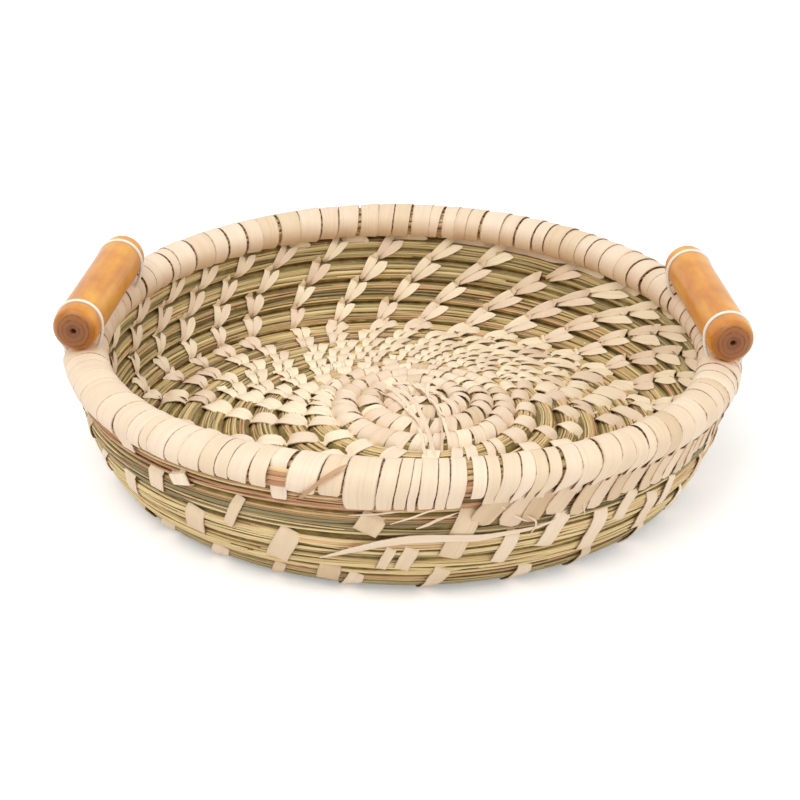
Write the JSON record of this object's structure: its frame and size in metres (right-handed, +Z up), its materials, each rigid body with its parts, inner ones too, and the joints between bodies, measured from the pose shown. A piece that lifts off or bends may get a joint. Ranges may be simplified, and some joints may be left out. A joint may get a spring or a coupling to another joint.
{
  "type": "straw tray",
  "caption": "Round coiled-straw serving tray: shallow domed floor, flared wall, closely wrapped rim, and turned wooden dowel handles lashed on the rim with cord loops.",
  "frame": {"origin": "centre of the tray on the ground that it stands on", "axes": "+Z up out of the tray, +X towards the right handle, +Y towards the back"},
  "size_m": [0.3833, 0.38, 0.1048],
  "materials": {
    "straw_bundle": "dry grass, dull",
    "palm_strip": "dry palm leaf, faint sheen",
    "varnished_wood": "satin varnish",
    "cotton_cord": "matt"
  },
  "bodies": {
    "tray": {"straw_coil": "straw_bundle", "rim_coil": "straw_bundle", "rim_wrap": "palm_strip", "cord_loop_left_front": "cotton_cord", "cord_loop_left_back": "cotton_cord", "cord_loop_right_front": "cotton_cord", "cord_loop_right_back": "cotton_cord"},
    "left_handle": {"handle_left": "varnished_wood"},
    "right_handle": {"handle_right": "varnished_wood"}
  },
  "joints": [
    {"name": "left_handle_roll", "type": "hinge", "parent": "tray", "child": "left_handle", "pos_m": [-0.17273, 0.01208, 0.09105], "axis": [0.1149, 0.9934, 0], "continuous": true},
    {"name": "right_handle_roll", "type": "hinge", "parent": "tray", "child": "right_handle", "pos_m": [0.17273, 0.01208, 0.09105], "axis": [-0.1149, 0.9934, 0], "continuous": true}
  ]
}
